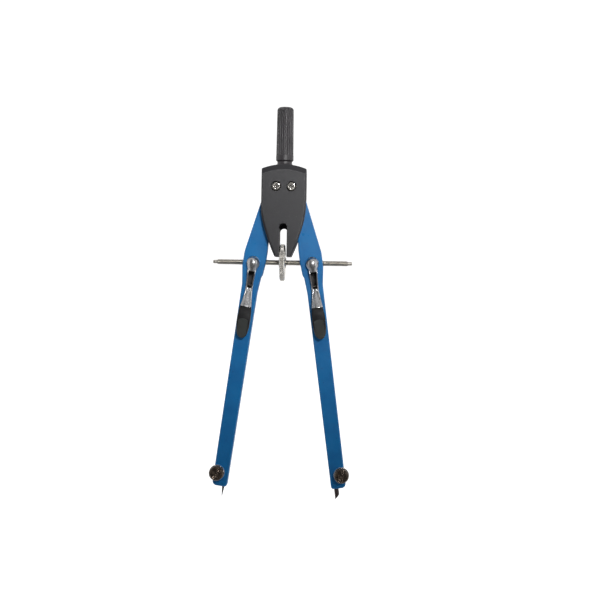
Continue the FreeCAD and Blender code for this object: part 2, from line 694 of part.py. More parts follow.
def pad_profile():
    """The pad's side view: back, hollow upper face, ridge and lower facet."""
    start = V(-FAR, PAD_TOP_FRONT, -PAD_TOP)
    ridge = V(-FAR, PAD_FRONT, -PAD_RIDGE)
    hollow = (start + ridge) / 2 + V(0, PAD_HOLLOW, 0)
    foot = V(-FAR, PAD_FOOT_FRONT, -PAD_BOTTOM)
    heel = V(-FAR, PAD_BACK, -PAD_BOTTOM)
    back = V(-FAR, PAD_BACK, -PAD_TOP)
    outline = Part.Wire([
        Part.Arc(start, hollow, ridge).toShape(), Part.makeLine(ridge, foot),
        Part.makeLine(foot, heel), Part.makeLine(heel, back), Part.makeLine(back, start),
    ])
    return Part.Face(outline).extrude(V(2 * FAR, 0, 0))


def lever_spring():
    """The coil spring between the leg and the lever's tongue."""
    height = SPRING_SEAT - SPRING_TOP - 2 * SPRING_WIRE_RADIUS
    helix = Part.makeHelix(height / SPRING_TURNS, height, SPRING_COIL_RADIUS)
    circle = Part.makeCircle(SPRING_WIRE_RADIUS, V(SPRING_COIL_RADIUS, 0, 0), Y_AXIS)
    coil = Part.Wire(helix.Edges).makePipeShell([Part.Wire(circle)], True, True)
    coil.rotate(V(0, 0, 0), X_AXIS, 90)
    coil.translate(V(NUT_SIDE, SPRING_SEAT - SPRING_WIRE_RADIUS, -SPRING_DROP))
    return coil


# ---- Points and clamp screws ----
def needle():
    """The needle: a shank as thick as the lead, then a slender cone down to its tip."""
    tip = tip_drop(NEEDLE_SIDE)
    profile = [(0, -NEEDLE_TOP), (POINT_RADIUS, -NEEDLE_TOP), (POINT_RADIUS, -NEEDLE_SHOULDER),
               (NEEDLE_CONE_RADIUS, -NEEDLE_SHOULDER), (NEEDLE_TIP_RADIUS, -tip), (0, -tip)]
    return turned(profile, V(NEEDLE_SIDE, 0, 0), Z_AXIS)


def tip_drop(side_distance):
    """How far down the leg a point at that distance meets the paper."""
    lean = radians(LEG_LEAN)
    return (PIVOT_HEIGHT + side_distance * sin(lean)) / cos(lean)


def lead():
    """The lead, ground to a chisel by one slanting face on its outer side."""
    inner = LEAD_SIDE - POINT_RADIUS
    tip = tip_drop(inner)
    body = post(POINT_RADIUS, -tip, -LEAD_TOP, x=LEAD_SIDE)
    reach = 2 * POINT_RADIUS + OVER
    bevel = [(inner, -tip), (inner + reach, -tip), (inner + reach, -tip + reach)]
    return body.cut(plate(bevel, -FAR, FAR))


def clamp_screw():
    """The knurled thumbscrew that closes the split clamp."""
    back = -HALF_LEG - BOSS_HEIGHT - CLAMP_WASHER_THICKNESS - 2 * GAP
    front = back - CLAMP_HEAD_THICKNESS
    head = rod(CLAMP_HEAD_RADIUS, front, back)
    head = head.makeChamfer(CLAMP_EDGE, [e for e in head.Edges if e.BoundBox.YLength < NEAR])
    knurls = [rod(CLAMP_KNURL_RADIUS, front - OVER, back + OVER, x, z)
              for x, z in round_circle(CLAMP_KNURLS, CLAMP_HEAD_RADIUS)]
    head = head.cut(Part.makeCompound(knurls))
    head = head.cut(rod(CLAMP_DIMPLE_RADIUS, front - OVER, front + CLAMP_DIMPLE_DEPTH))
    screw = fused([head, rod(CLAMP_SHANK_RADIUS, back - GAP, HALF_LEG - CLAMP_SHANK_SHORT)])
    screw.translate(V(CLAMP_SIDE, 0, -CLAMP_DROP))
    return screw


def clamp_washer():
    """The bright washer between the thumbscrew and the leg's boss."""
    back = -HALF_LEG - BOSS_HEIGHT
    return ring(CLAMP_WASHER_RADIUS, CLAMP_SHANK_RADIUS + RUNNING, back - CLAMP_WASHER_THICKNESS, back,
                CLAMP_SIDE, -CLAMP_DROP)


# ---- Spindle and wheel ----
def spindle_parts():
    """The threaded spindle, its knurled wheel and the guide rings beside the wheel."""
    half = SPINDLE_LENGTH / 2
    z = SPINDLE_Z
    spindle = fused([
        bar(SPINDLE_RADIUS, WHEEL_OFFSET - half + TIP_LENGTH, WHEEL_OFFSET + half - TIP_LENGTH, z=z),
        bar(TIP_RADIUS, WHEEL_OFFSET - half, WHEEL_OFFSET + half, z=z),
    ])
    near = WHEEL_OFFSET - WHEEL_WIDTH / 2
    far = WHEEL_OFFSET + WHEEL_WIDTH / 2
    wheel = bar(WHEEL_RADIUS, near, far, z=z)
    wheel = wheel.makeChamfer(WHEEL_EDGE, [e for e in wheel.Edges if e.BoundBox.XLength < NEAR])
    knurls = [bar(WHEEL_KNURL_RADIUS, near - OVER, far + OVER, y, z + up)
              for y, up in round_circle(WHEEL_KNURLS, WHEEL_RADIUS)]
    wheel = wheel.cut(Part.makeCompound(knurls)).cut(bar(SPINDLE_RADIUS, near - OVER, far + OVER, z=z))
    guides = []
    for start in (near - GAP - GUIDE_THICKNESS, far + GAP):
        disc = bar(GUIDE_RADIUS, start, start + GUIDE_THICKNESS, z=z)
        guides.append(disc.cut(bar(SPINDLE_RADIUS + RUNNING, -FAR, FAR, z=z)))
    save("spindle", spindle)
    save("spindle_wheel", wheel)
    save("wheel_guides", Part.makeCompound(guides))


def leg_parts():
    """Everything that both legs carry."""
    on_leg = {
        "release_lever": release_lever(),
        "lever_pad": lever_pad(),
        "jaw_clip": jaw_clip(),
        "lever_pin": lever_pin(LEVER_PIN_RADIUS),
        "lever_spring": lever_spring(),
        "clamp_screw": clamp_screw(),
        "clamp_washer": clamp_washer(),
    }
    on_spindle = {"swivel_nut": swivel_nut(), "thread_jaw": thread_jaw()}
    for name, side in SIDES.items():
        save(f"leg_{name}", leg(side))
        for piece, shape in on_leg.items():
            save(f"{piece}_{name}", place_on_leg(shape, side))
        for piece, shape in on_spindle.items():
            save(f"{piece}_{name}", at_nut(shape, side))
    save("needle", place_on_leg(needle(), LEFT))
    save("lead", place_on_leg(lead(), RIGHT))


def main():
    os.makedirs(OUT, exist_ok=True)
    head_parts()
    pivot_parts()
    handle_parts()
    leg_parts()
    spindle_parts()


main()
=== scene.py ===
"""Looks for the quick-setting drawing compass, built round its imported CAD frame."""

import json
from math import cos, pi, radians, sin, sqrt

import bmesh
import bpy
from mathutils import Matrix, Vector


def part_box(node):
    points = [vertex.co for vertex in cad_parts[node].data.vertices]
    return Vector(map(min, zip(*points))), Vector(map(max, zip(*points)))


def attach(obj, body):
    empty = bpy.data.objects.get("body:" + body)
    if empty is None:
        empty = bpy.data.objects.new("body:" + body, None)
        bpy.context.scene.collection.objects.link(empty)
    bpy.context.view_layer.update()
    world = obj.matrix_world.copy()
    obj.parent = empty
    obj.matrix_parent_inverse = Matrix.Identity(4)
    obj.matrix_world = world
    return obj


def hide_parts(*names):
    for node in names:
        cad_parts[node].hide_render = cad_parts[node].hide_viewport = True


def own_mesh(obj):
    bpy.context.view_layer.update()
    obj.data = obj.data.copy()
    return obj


MM = 0.001
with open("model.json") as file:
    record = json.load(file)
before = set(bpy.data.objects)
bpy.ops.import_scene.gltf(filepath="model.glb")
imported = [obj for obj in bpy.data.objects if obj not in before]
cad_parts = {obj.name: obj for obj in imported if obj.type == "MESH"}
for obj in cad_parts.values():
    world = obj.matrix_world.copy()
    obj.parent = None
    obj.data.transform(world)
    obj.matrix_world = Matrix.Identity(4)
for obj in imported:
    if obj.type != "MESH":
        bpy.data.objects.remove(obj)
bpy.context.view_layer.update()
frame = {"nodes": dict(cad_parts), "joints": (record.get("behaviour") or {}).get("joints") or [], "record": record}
NODES = frame["nodes"]
JOINTS = {joint["name"]: joint for joint in frame["joints"]}
BODY_OF = {node: body for body, nodes in frame["record"]["behaviour"]["bodies"].items() for node in nodes}
POINT_SLIDES = {"left": "needle_slide", "right": "lead_slide"}
SIDES = tuple(POINT_SLIDES)


# ---------------------------------------- places taken from the frame
def place_of(joint):
    """Where a joint's axis passes, in metres."""
    return Vector(JOINTS[joint]["pos_m"])


class LegFrame:
    """One leg's axes: out from the other leg, straight back, and down the leg, from its pivot."""

    def __init__(self, side):
        sign = 1 if side == "right" else -1
        self.pivot = place_of(f"{side}_leg_swing")
        self.down = Vector(JOINTS[POINT_SLIDES[side]]["axis"]).normalized()
        self.out = Vector((-self.down.z * sign, 0, self.down.x * sign))
        self.back = Vector((0, 1, 0))

    def point(self, out, back, down):
        """A point from its distances along the leg's axes, in millimetres, as metres."""
        return self.pivot + (self.out * out + self.back * back + self.down * down) * MM

    def find(self, point):
        """The distances of a point along the leg's axes, in millimetres."""
        offset = (Vector(point) - self.pivot) / MM
        return offset.dot(self.out), offset.dot(self.back), offset.dot(self.down)


LEGS = {side: LegFrame(side) for side in SIDES}
SPINDLE = place_of("wheel_turn")
LEVER_OUT = LEGS["right"].find(place_of("right_lever_press"))[0]
LEG_FRONT = LEGS["right"].find(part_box("swivel_nut_right")[0])[1]


def middle(node):
    """The middle of a node's box, in metres."""
    low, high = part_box(node)
    return (low + high) / 2


def stand_in(piece, node):
    """Let a piece take the place of a CAD node, on that node's body."""
    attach(piece, BODY_OF[node])
    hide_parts(node)


# ---------------------------------------- shader nodes
def new_material(name):
    """An empty material with its node tree and its principled shader."""
    material = bpy.data.materials.new(name)
    material.use_nodes = True
    return material, material.node_tree, material.node_tree.nodes["Principled BSDF"]


def add_node(tree, kind, **settings):
    """Add a node; each setting is an unlinked input's value or a property."""
    made = tree.nodes.new(kind)
    for key, value in settings.items():
        if key in made.inputs:
            made.inputs[key].default_value = value
        else:
            setattr(made, key, value)
    return made


def coordinates(tree, stretch=(1, 1, 1)):
    """The piece's own coordinates, stretched along each axis."""
    mapping = add_node(tree, "ShaderNodeMapping", Scale=stretch)
    tree.links.new(add_node(tree, "ShaderNodeTexCoord").outputs["Object"], mapping.inputs["Vector"])
    return mapping.outputs["Vector"]


def noise(tree, scale, detail=4.0, rough=0.55, stretch=(1, 1, 1)):
    """The grey value of a noise whose grain is 1/scale metres."""
    texture = add_node(tree, "ShaderNodeTexNoise", Scale=scale, Detail=detail, Roughness=rough)
    tree.links.new(coordinates(tree, stretch), texture.inputs["Vector"])
    return texture.outputs["Fac"]


def remap(tree, value, span, target):
    """Map a value's span to a target span, clamped."""
    made = add_node(tree, "ShaderNodeMapRange")
    for key, number in zip(("From Min", "From Max", "To Min", "To Max"), (*span, *target)):
        made.inputs[key].default_value = number
    tree.links.new(value, made.inputs["Value"])
    return made.outputs["Result"]


def patches(tree, scale, span, most=1.0, **grain):
    """A share that rises from 0 to the most as a noise's grey value crosses a span."""
    return remap(tree, noise(tree, scale, **grain), span, (0, most))


def blend(tree, factor, first, second):
    """Mix two colours, each a tuple or a socket."""
    mix = add_node(tree, "ShaderNodeMix", data_type="RGBA")
    tree.links.new(factor, mix.inputs[0])
    for socket, colour in zip([s for s in mix.inputs if s.type == "RGBA"], (first, second)):
        if isinstance(colour, tuple):
            socket.default_value = (*colour, 1)
        else:
            tree.links.new(colour, socket)
    return [s for s in mix.outputs if s.type == "RGBA"][0]


def calculate(tree, operation, first, second=0.0):
    """One arithmetic step; each operand is a number or a socket."""
    made = add_node(tree, "ShaderNodeMath", operation=operation)
    for socket, operand in zip(made.inputs, (first, second)):
        if isinstance(operand, (int, float)):
            socket.default_value = operand
        else:
            tree.links.new(operand, socket)
    return made.outputs[0]


def raise_surface(tree, shader, height, distance, strength, under=None):
    """Bump the surface by a height, up to a distance in millimetres, on top of an earlier bump."""
    made = add_node(tree, "ShaderNodeBump", Strength=strength, Distance=distance * MM)
    tree.links.new(height, made.inputs["Height"])
    if under is not None:
        tree.links.new(under, made.inputs["Normal"])
    tree.links.new(made.outputs["Normal"], shader.inputs["Normal"])
    return made.outputs["Normal"]


def shaded(colour, share):
    """A colour times a share."""
    return tuple(channel * share for channel in colour)


# ---------------------------------------- materials
PAINT_TONES = ((0.0012, 0.126, 0.360), (0.0020, 0.155, 0.415))
PAINT_SPECK = (0.004, 0.055, 0.16)
PAINT_SCUFF = (0.22, 0.42, 0.58)
PAINT_WORN = (0.13, 0.33, 0.52)
PAINT_ROUGHNESS = (0.27, 0.36)
PAINT_SPECULAR = 0.38
PAINT_COAT = 0.06
PAINT_COAT_ROUGHNESS = 0.2
PLASTIC_DUST = (0.2, 0.19, 0.185)
PLASTIC_RUBBED = 1.35
METAL_FILM = 0.76
METAL_SPOT = 0.35
GRAPHITE_TONES = ((0.028, 0.020, 0.020), (0.085, 0.062, 0.060))
GRAPHITE_METALLIC = 0.35
GRAPHITE_ROUGHNESS = (0.35, 0.6)

# How much of each blue paint is rubbed.
PAINTS = {"blue_paint": 0.015, "blue_edge": 0.5}
MOULDINGS = {
    "black_cover": {"tint": (0.0145, 0.014, 0.0165), "smooth": 0.33, "dull": 0.42, "shine": 0.42},
    # black_edge is a lighter black for bevels; on the pad's ridge and edges it is a painted highlight.
    "black_edge": {"tint": (0.040, 0.039, 0.043), "smooth": 0.30, "dull": 0.42},
    "black_grip": {"tint": (0.030, 0.027, 0.030), "smooth": 0.38, "dull": 0.50, "grain": 4200},
    "black_pad": {"tint": (0.009, 0.009, 0.010), "smooth": 0.42, "dull": 0.54, "height": 0.03,
                  "shine": 0.2},
    # grey_facet is lighter than black_pad: partly the lower facet's own grey-green, partly painted light.
    "grey_facet": {"tint": (0.036, 0.040, 0.038), "smooth": 0.44, "dull": 0.56, "shine": 0.4},
    # shade_and_bare_black: painted shade in the leg's channels and round the pivot screws, and the bare cast skin
    # in the channels.
    "shade_and_bare_black": {"tint": (0.018, 0.016, 0.017), "smooth": 0.5, "dull": 0.7, "grain": 3000,
                      "height": 0.05},
}
METALS = {
    "nickel": {"tint": (0.66, 0.63, 0.58), "smooth": 0.12, "dull": 0.28, "scratch": 0.3},
    "satin_nickel": {"tint": (0.50, 0.50, 0.51), "smooth": 0.22, "dull": 0.36, "scratch": 0.15,
                     "stretch": (1, 1, 0.2)},
    "steel": {"tint": (0.58, 0.55, 0.50), "smooth": 0.22, "dull": 0.42, "stretch": (0.2, 1, 1)},
    # black_steel_and_shade: dark steel for the springs and the needle, and painted shade on the lever pins and in
    # the pivot screws' crosses.
    "black_steel_and_shade": {"tint": (0.09, 0.085, 0.08), "smooth": 0.30, "dull": 0.46},
    "brass": {"tint": (0.72, 0.53, 0.26), "smooth": 0.22, "dull": 0.40},
}
TURNED_METALS = {
    "dark_nickel": {"tint": (0.15, 0.118, 0.092), "dark": (0.045, 0.035, 0.03), "smooth": 0.20,
                    "dull": 0.36, "ring": 0.17},
    "turned_nickel": {"tint": (0.93, 0.90, 0.85), "dark": (0.74, 0.71, 0.66), "smooth": 0.14,
                      "dull": 0.30, "ring": 0.2},
}


def blue_paint(name, rubbed):
    """Stoved blue paint: faint orange peel, uneven tone, dust specks and a share of rubbed patches."""
    material, tree, shader = new_material(name)
    clouds = patches(tree, scale=110, span=(0.35, 0.65))
    base = blend(tree, clouds, *PAINT_TONES)
    specks = patches(tree, scale=950, span=(0.71, 0.76), most=0.6, detail=2)
    base = blend(tree, specks, base, PAINT_SPECK)
    scuffs = patches(tree, scale=520, span=(0.72, 0.77), most=0.35, detail=6, rough=0.7,
                     stretch=(1, 1, 0.35))
    base = blend(tree, scuffs, base, PAINT_SCUFF)
    wear = patches(tree, scale=420, span=(0.40, 0.66), most=rubbed, detail=5)
    base = blend(tree, wear, base, PAINT_WORN)
    tree.links.new(base, shader.inputs["Base Color"])
    sheen = remap(tree, noise(tree, scale=260), (0.3, 0.7), PAINT_ROUGHNESS)
    tree.links.new(sheen, shader.inputs["Roughness"])
    shader.inputs["Specular IOR Level"].default_value = PAINT_SPECULAR
    shader.inputs["Coat Weight"].default_value = PAINT_COAT
    shader.inputs["Coat Roughness"].default_value = PAINT_COAT_ROUGHNESS
    peel = raise_surface(tree, shader, noise(tree, scale=1300, detail=2), distance=0.05, strength=0.4)
    raise_surface(tree, shader, specks, distance=0.04, strength=0.6, under=peel)
    return material


def black_moulding(name, tint, smooth, dull, grain=5200, height=0.04, shine=0.5):
    """Black plastic with a fine moulded grain, rubbed patches and a little dust."""
    material, tree, shader = new_material(name)
    rubbed = patches(tree, scale=150, span=(0.38, 0.68), detail=5)
    base = blend(tree, rubbed, tint, shaded(tint, PLASTIC_RUBBED))
    dust = patches(tree, scale=2800, span=(0.70, 0.76), most=0.14, detail=1)
    tree.links.new(blend(tree, dust, base, PLASTIC_DUST), shader.inputs["Base Color"])
    tree.links.new(remap(tree, rubbed, (0, 1), (dull, smooth)), shader.inputs["Roughness"])
    shader.inputs["Specular IOR Level"].default_value = shine
    raise_surface(tree, shader, noise(tree, grain, detail=3, rough=0.6), height, strength=0.5)
    return material


def metal(name, tint, smooth, dull, stretch=(1, 1, 1), scratch=0.4):
    """Plated or ground metal with fine scratches along one axis and dull patches."""
    material, tree, shader = new_material(name)
    film = patches(tree, scale=340, span=(0.36, 0.68))
    base = blend(tree, film, tint, shaded(tint, METAL_FILM))
    spots = patches(tree, scale=1700, span=(0.68, 0.74), most=0.55, detail=2)
    tree.links.new(blend(tree, spots, base, shaded(tint, METAL_SPOT)), shader.inputs["Base Color"])
    shader.inputs["Metallic"].default_value = 1.0
    lines = noise(tree, scale=2400, detail=3, stretch=stretch)
    half = (dull - smooth) / 2
    rough = calculate(tree, "ADD", remap(tree, film, (0, 1), (smooth, smooth + half)),
                      remap(tree, lines, (0.35, 0.65), (0, half)))
    tree.links.new(rough, shader.inputs["Roughness"])
    raise_surface(tree, shader, lines, distance=0.02, strength=scratch)
    return material


def turned_metal(name, tint, dark, smooth, dull, ring):
    """Metal turned on a lathe about the piece's own Z: fine rings, and a darker film in patches."""
    material, tree, shader = new_material(name)
    split = add_node(tree, "ShaderNodeSeparateXYZ")
    tree.links.new(coordinates(tree), split.inputs[0])
    squares = [calculate(tree, "MULTIPLY", split.outputs[axis], split.outputs[axis]) for axis in "XY"]
    radius = calculate(tree, "SQRT", calculate(tree, "ADD", *squares))
    rings = calculate(tree, "SINE", calculate(tree, "MULTIPLY", radius, 2 * pi / (ring * MM)))
    film = patches(tree, scale=460, span=(0.36, 0.66))
    tree.links.new(blend(tree, film, dark, tint), shader.inputs["Base Color"])
    shader.inputs["Metallic"].default_value = 1.0
    grain = noise(tree, scale=1500, detail=3)
    tree.links.new(remap(tree, grain, (0.3, 0.7), (smooth, dull)), shader.inputs["Roughness"])
    raise_surface(tree, shader, calculate(tree, "ADD", rings, grain), distance=0.01, strength=0.5)
    return material


def graphite(name):
    """Ground graphite: dark, with a soft sheen and fine grinding lines."""
    material, tree, shader = new_material(name)
    grain = patches(tree, scale=3200, span=(0.35, 0.65), detail=3)
    tree.links.new(blend(tree, grain, *GRAPHITE_TONES), shader.inputs["Base Color"])
    shader.inputs["Metallic"].default_value = GRAPHITE_METALLIC
    tree.links.new(remap(tree, grain, (0, 1), GRAPHITE_ROUGHNESS), shader.inputs["Roughness"])
    lines = noise(tree, scale=5200, detail=2, stretch=(1, 1, 0.15))
    raise_surface(tree, shader, lines, distance=0.02, strength=0.6)
    return material


MATERIALS = {name: blue_paint(name, rubbed) for name, rubbed in PAINTS.items()}
MATERIALS.update({name: black_moulding(name, **look) for name, look in MOULDINGS.items()})
MATERIALS.update({name: metal(name, **look) for name, look in METALS.items()})
MATERIALS.update({name: turned_metal(name, **look) for name, look in TURNED_METALS.items()})
MATERIALS["graphite"] = graphite("graphite")


# ---------------------------------------- mesh helpers
def mesh_object(name, vertices, faces, material):
    """A smooth mesh object from vertices in metres, its faces turned outwards."""
    mesh = bpy.data.meshes.new(name)
    mesh.from_pydata([tuple(v) for v in vertices], [], faces)
    built = bmesh.new()
    built.from_mesh(mesh)
    bmesh.ops.recalc_face_normals(built, faces=built.faces)
    built.to_mesh(mesh)
    built.free()
    for polygon in mesh.polygons:
        polygon.use_smooth = True
    mesh.materials.append(MATERIALS[material])
    made = bpy.data.objects.new(name, mesh)
    bpy.context.scene.collection.objects.link(made)
    return made


def loft(name, rings, material):
    """A closed skin through rings of equal length, with a flat cap at each end."""
    count = len(rings[0])
    faces = []
    for i in range(len(rings) - 1):
        for j in range(count):
            a, b = i * count + j, i * count + (j + 1) % count
            faces.append((a, b, b + count, a + count))
    faces.append(tuple(reversed(range(count))))
    faces.append(tuple(range((len(rings) - 1) * count, len(rings) * count)))
    return mesh_object(name, [v for ring in rings for v in ring], faces, material)


def turned(name, profile, segments, material, knurl):
    """A solid turned about Z from (radius, height) points in millimetres; knurl(angle, i) cuts a ring."""
    rings = []
    for i, (radius, height) in enumerate(profile):
        ring = []
        for j in range(segments):
            angle = 2 * pi * j / segments
            r = (radius - knurl(angle, i)) * MM
            ring.append((r * cos(angle), r * sin(angle), height * MM))
        rings.append(ring)
    return loft(name, rings, material)


def grid_solid(name, front, back, columns, rows, material):
    """A closed solid between a front and a back surface, each a function of the column and row shares."""
    vertices = []
    for surface in (front, back):
        for j in range(rows + 1):
            vertices += [surface(i / columns, j / rows) for i in range(columns + 1)]
    width = columns + 1
    layer = width * (rows + 1)
    faces = []
    for j in range(rows):
        for i in range(columns):
            a = j * width + i
            quad = (a, a + 1, a + 1 + width, a + width)
            faces += [quad, tuple(layer + v for v in reversed(quad))]
    border = list(range(columns)) + [j * width + columns for j in range(rows)]
    border += [rows * width + i for i in range(columns, 0, -1)] + [j * width for j in range(rows, 0, -1)]
    for a, b in zip(border, border[1:] + border[:1]):
        faces.append((a, a + layer, b + layer, b))
    return mesh_object(name, vertices, faces, material)


def modify(piece, kind, **settings):
    """Add a modifier and set its properties."""
    made = piece.modifiers.new(kind.title(), kind)
    for key, value in settings.items():
        setattr(made, key, value)
    return made


def apply_modifiers(piece):
    """Turn a piece's modifiers into plain mesh."""
    bpy.context.view_layer.update()
    graph = bpy.context.evaluated_depsgraph_get()
    mesh = bpy.data.meshes.new_from_object(piece.evaluated_get(graph))
    piece.modifiers.clear()
    piece.data = mesh


def join(first, *others):
    """Gather several meshes into the first piece, without merging them."""
    built = bmesh.new()
    for piece in (first, *others):
        built.from_mesh(piece.data)
    built.to_mesh(first.data)
    built.free()
    for piece in others:
        bpy.data.objects.remove(piece)
    return first


def cut_away(piece, tool):
    """Cut a tool out of a piece, and delete the tool."""
    modify(piece, "BOOLEAN", object=tool, operation="DIFFERENCE", solver="EXACT")
    apply_modifiers(piece)
    bpy.data.objects.remove(tool)


def sharp_by_angle(piece, angle):
    """Shade smoothly across edges flatter than an angle, in degrees."""
    for polygon in piece.data.polygons:
        polygon.use_smooth = True
    piece.data.set_sharp_from_angle(angle=radians(angle))
    return piece


def along(points, x):
    """Read a straight-sided curve through (x, value) points."""
    for (x0, v0), (x1, v1) in zip(points, points[1:]):
        if x <= x1:
            return v0 + (v1 - v0) * max(0.0, (x - x0) / (x1 - x0))
    return points[-1][1]


def circle(radius, count):
    """Points round a circle, as pairs."""
    turns = [2 * pi * j / count for j in range(count)]
    return [(radius * cos(turn), radius * sin(turn)) for turn in turns]


# ---------------------------------------- carried-over CAD nodes, in millimetres
EDGE_ROUNDS = {
    "head_front_cover": 0.10, "head_back_cover": 0.10, "head_core": 0.1, "handle_collar": 0.15,
    "leg": 0.08, "clamp_washer": 0.12, "pivot_screws": 0.07, "lead": 0.04, "wheel_guides": 0.06,
    "swivel_nut": 0.08,
}
EDGE_FINISH = {"blue_paint": "blue_edge", "black_cover": "black_edge"}
EDGE_SEGMENTS = 3
EDGE_ANGLE = 30
FLAT_ANGLE = 0.5
MERGE_DISTANCE = 0.002
NORMAL_WEIGHT = 80
# Nodes drawn in dark steel instead of their slots: on the lever pins it is painted shade, as they sit under the
# lever; the needle is simply drawn dark.
DARKENED_NODES = ("lever_pin", "needle")
CHANNEL_ACROSS = 1.48
CHANNEL_DOWN = (37.4, 48.6)
CHANNEL_SKIN = 0.05
# Where shade is painted into the recesses round the pivots: the node, the dark material painted there as shade,
# and how far it reaches.
RECESS_SHADE = (("pivot_screws", "black_steel_and_shade", 1.3), ("head_front_cover", "shade_and_bare_black", 2.25))
RECESS_SHADE_DEPTH = (0.02, 1.55)


def family(node):
    """A node's name without its side."""
    return node.removesuffix("_left").removesuffix("_right")


def dress_cad_nodes():
    """Give every CAD node its material, and the ones that show their edges a rounding."""
    for part in frame["record"]["subparts"]:
        piece = NODES[part["node"]]
        piece.data.materials.clear()
        # On the lever pins this dark steel is painted shade.
        finish = "black_steel_and_shade" if family(part["node"]) in DARKENED_NODES else part["material_slot"]
        piece.data.materials.append(MATERIALS[finish])
        width = EDGE_ROUNDS.get(family(part["node"]))
        if not width:
            continue
        modify(piece, "WELD", merge_threshold=MERGE_DISTANCE * MM)
        modify(piece, "DECIMATE", decimate_type="DISSOLVE", angle_limit=radians(FLAT_ANGLE),
               delimit={"MATERIAL"})
        bevel = modify(piece, "BEVEL", width=width * MM, segments=EDGE_SEGMENTS, limit_method="ANGLE",
                       angle_limit=radians(EDGE_ANGLE), use_clamp_overlap=False)
        if part["material_slot"] in EDGE_FINISH:
            piece.data.materials.append(MATERIALS[EDGE_FINISH[part["material_slot"]]])
            bevel.material = len(piece.data.materials) - 1
        modify(piece, "WEIGHTED_NORMAL", keep_sharp=False, weight=NORMAL_WEIGHT)


def darken_channels():
    """Blacken the channel behind each lever: painted shade for the deep channel, together with the leg's cast
    skin, which is left unpainted there.
    """
    for side, leg in LEGS.items():
        mesh = NODES[f"leg_{side}"].data
        mesh.materials.append(MATERIALS["shade_and_bare_black"])
        for polygon in mesh.polygons:
            out, back, down = leg.find(polygon.center)
            inside = abs(out - LEVER_OUT) < CHANNEL_ACROSS and CHANNEL_DOWN[0] < down < CHANNEL_DOWN[1]
            if inside and LEG_FRONT + CHANNEL_SKIN < back < -LEG_FRONT - CHANNEL_SKIN:
                polygon.material_index = len(mesh.materials) - 1


def darken_recesses():
    """Paint shade into the crosses in the pivot screws and the recesses round their heads: a dark material stands
    in for the shade that falls in them.
    """
    for node, shade_finish, reach in RECESS_SHADE:
        mesh = NODES[node].data
        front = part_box(node)[0].y
        mesh.materials.append(MATERIALS[shade_finish])
        for polygon in mesh.polygons:
            near = min((polygon.center - leg.pivot).xz.length for leg in LEGS.values()) / MM
            deep = (polygon.center.y - front) / MM
            # Faces set back from the front and near a pivot get the dark material, as painted shade.
            if RECESS_SHADE_DEPTH[0] < deep < RECESS_SHADE_DEPTH[1] and near < reach:
                polygon.material_index = len(mesh.materials) - 1


# ---------------------------------------- levers, in millimetres along the leg
DOME_DOWN = 34.2
DOME_RADIUS = 2.9
DOME_RISE = 3.78
DOME_POWER = 2.4
DOME_TIP_SHARE = 0.03
DOME_STEPS = 16
# An arched section's steps, and the power of its curve: 2 is an ellipse, and more is squarer.
DOME_SECTION = (28, 2.2)
TONGUE_SECTION = (20, 4.0)
LEVER_BACK = -2.72
CAVITY_RADIUS = 2.1
CAVITY_DEPTH = (-1.0, -4.4)
CAVITY_SEGMENTS = 48
PIN_DOWN = 44.0
PIN_BACK = -1.4
PIN_RADIUS = 0.57
EYE_RADIUS = 1.05
BAR_SEGMENTS = 32
ARM_OVERLAP = 0.3
# Each list runs down the leg: how far down, then half the width, then the front face.
NECK = [(35.0, 2.79, -6.45), (35.8, 2.50, -6.30), (36.5, 2.12, -6.02), (37.2, 1.84, -5.72),
        (37.8, 1.76, -5.5)]
RAIL = [(36.0, 1.85, -4.0), (37.4, 1.84, -5.0), (38.6, 1.76, -5.1), (41.0, 1.60, -4.55),
        (44.0, 1.50, -4.05), (46.5, 1.55, -4.0), (49.0, 1.80, -4.6), (51.5, 2.15, -5.6),
        (53.5, 2.42, -6.35), (56.0, 2.60, -6.5), (58.0, 2.62, -5.9)]
RAIL_THICKNESS = 0.46
RAIL_LEAST_DEPTH = 0.5
TONGUE = [(45.0, 0.40, -3.6), (46.2, 0.56, -4.15), (48.0, 0.84, -5.05), (50.6, 1.20, -6.35),
          (53.0, 1.46, -7.3), (54.0, 1.50, -7.3)]
TONGUE_THICKNESS = 0.9
TONGUE_RECESS = 1.5
WEB_THICKNESS = 0.45
UNDERSIDE = [(36.0, -2.72), (45.4, -2.72), (46.8, -2.95), (53.4, -6.2), (58.0, -5.5)]
LEVER_GRAIN = 0.085
LEVER_SMOOTHING = 0.5
LEVER_SMOOTH_STEPS = 5
LEVER_FACES_KEPT = 0.35
LEVER_SHARP = 60
LEVER_METAL = "satin_nickel"


def lever_place(side):
    """From millimetres (out from the lever's middle, back, up the leg) to the world's metres."""
    leg = LEGS[side]
    axes = Matrix((leg.out, leg.back, -leg.down)).transposed() * MM
    return Matrix.Translation(leg.point(LEVER_OUT, 0, 0)) @ axes.to_4x4()


def placed_copy(piece, name, side, node):
    """A copy of a piece drawn in millimetres, set on one leg in place of its CAD node."""
    mesh = piece.data.copy()
    mesh.name = name
    place = lever_place(side)
    mesh.transform(place)
    if place.determinant() < 0:
        mesh.flip_normals()
    made = bpy.data.objects.new(name, mesh)
    bpy.context.scene.collection.objects.link(made)
    stand_in(made, node)


def box_section(left, right, front, back, down):
    """A ring of four corners across the leg."""
    return [(left, front, -down), (right, front, -down), (right, back, -down), (left, back, -down)]


def rounded_section(half_width, front, back, down, steps, power):
    """A ring across the leg: flat behind, and a full rounded arch in front."""
    ring = []
    for i in range(steps + 1):
        angle = pi * i / steps
        across = half_width * abs(cos(angle)) ** (2 / power) * (1 if angle < pi / 2 else -1)
        ring.append((across, back + (front - back) * sin(angle) ** (2 / power), -down))
    return ring


